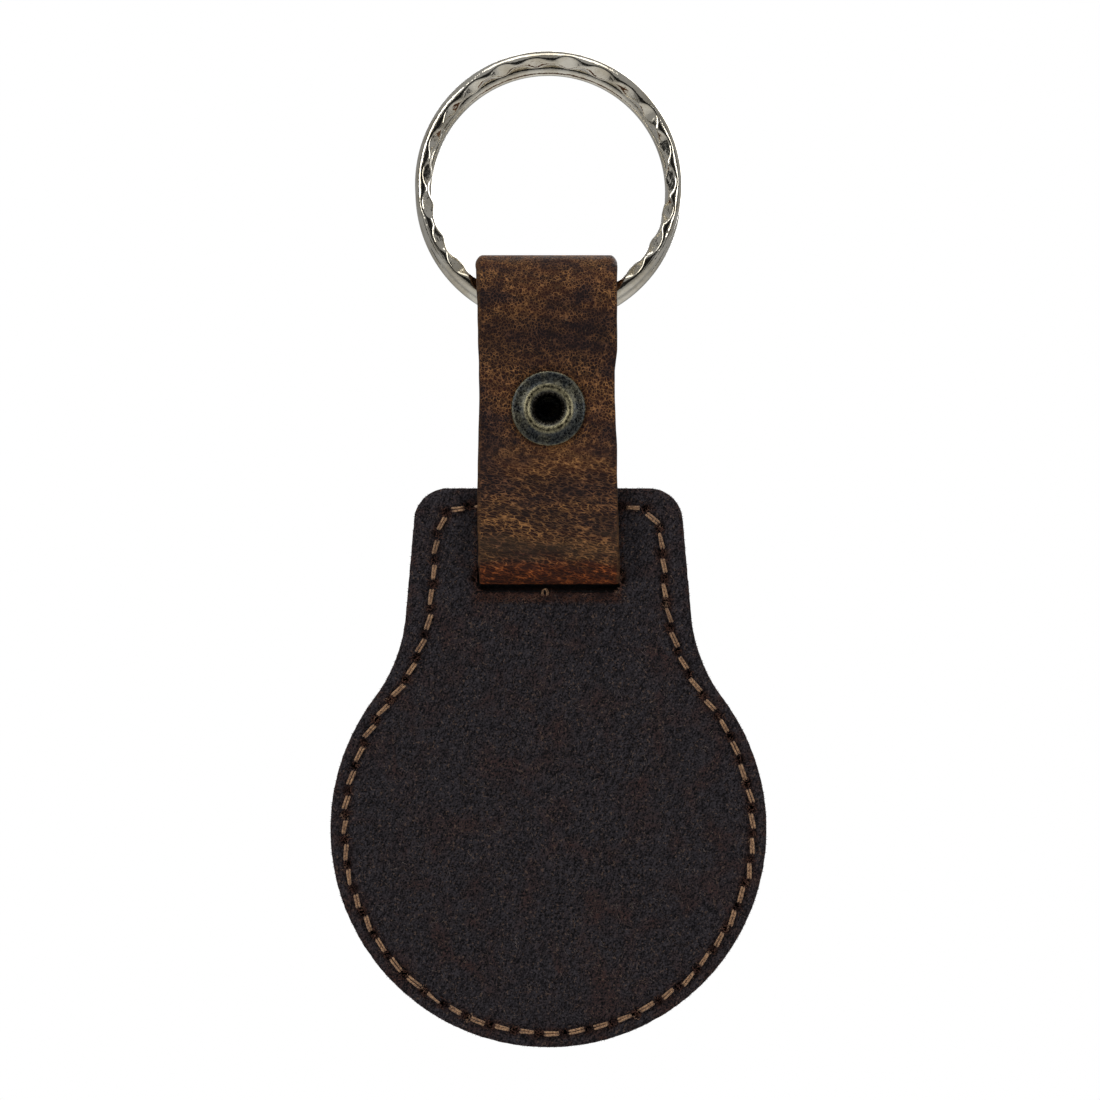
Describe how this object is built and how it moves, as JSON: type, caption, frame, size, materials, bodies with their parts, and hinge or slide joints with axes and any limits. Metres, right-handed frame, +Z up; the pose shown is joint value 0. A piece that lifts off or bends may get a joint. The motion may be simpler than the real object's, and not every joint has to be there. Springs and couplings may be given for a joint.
{
  "type": "guitar pick holder",
  "caption": "Stitched leather guitar-pick pouch with a moulded pocket, hung by a snapped leather strap from a split key ring.",
  "frame": {"origin": "centre of the key ring, halfway between its two turns", "axes": "+Z up as the holder hangs, +Y towards the pick pocket along the ring's own axis, +X across"},
  "size_m": [0.0522, 0.0115, 0.1193],
  "materials": {
    "ring_nickel": "bright nickel, hammered",
    "strap_leather": "brown pull-up leather, waxed grain side out",
    "suede": "black suede, napped flesh side out",
    "front_leather": "brown leather, waxed grain side out",
    "thread": "tan waxed polyester thread",
    "snap_antique": "antique gunmetal plating worn to brass on its crests",
    "spring_steel": "bright spring wire"
  },
  "bodies": {
    "ring": {"key_ring": "ring_nickel"},
    "pouch": {"strap_back": "strap_leather", "back_panel": "suede", "front_panel": "front_leather", "pick_pocket": "front_leather", "needle_thread": "thread", "bobbin_thread": "thread", "snap_eyelet": "snap_antique", "snap_stud": "snap_antique"},
    "tab": {"strap_tab": "strap_leather", "snap_socket": "snap_antique", "snap_spring": "spring_steel", "snap_rivet": "snap_antique", "snap_cap": "snap_antique"}
  },
  "joints": [
    {"name": "strap_swing", "type": "hinge", "parent": "ring", "child": "pouch", "pos_m": [0, 0, -0.01421], "axis": [1, 0, 0], "range_deg": [-140, 140]},
    {"name": "tab_open", "type": "hinge", "parent": "pouch", "child": "tab", "pos_m": [0, 0, -0.00841], "axis": [1, 0, 0], "range_deg": [0, 100]}
  ]
}
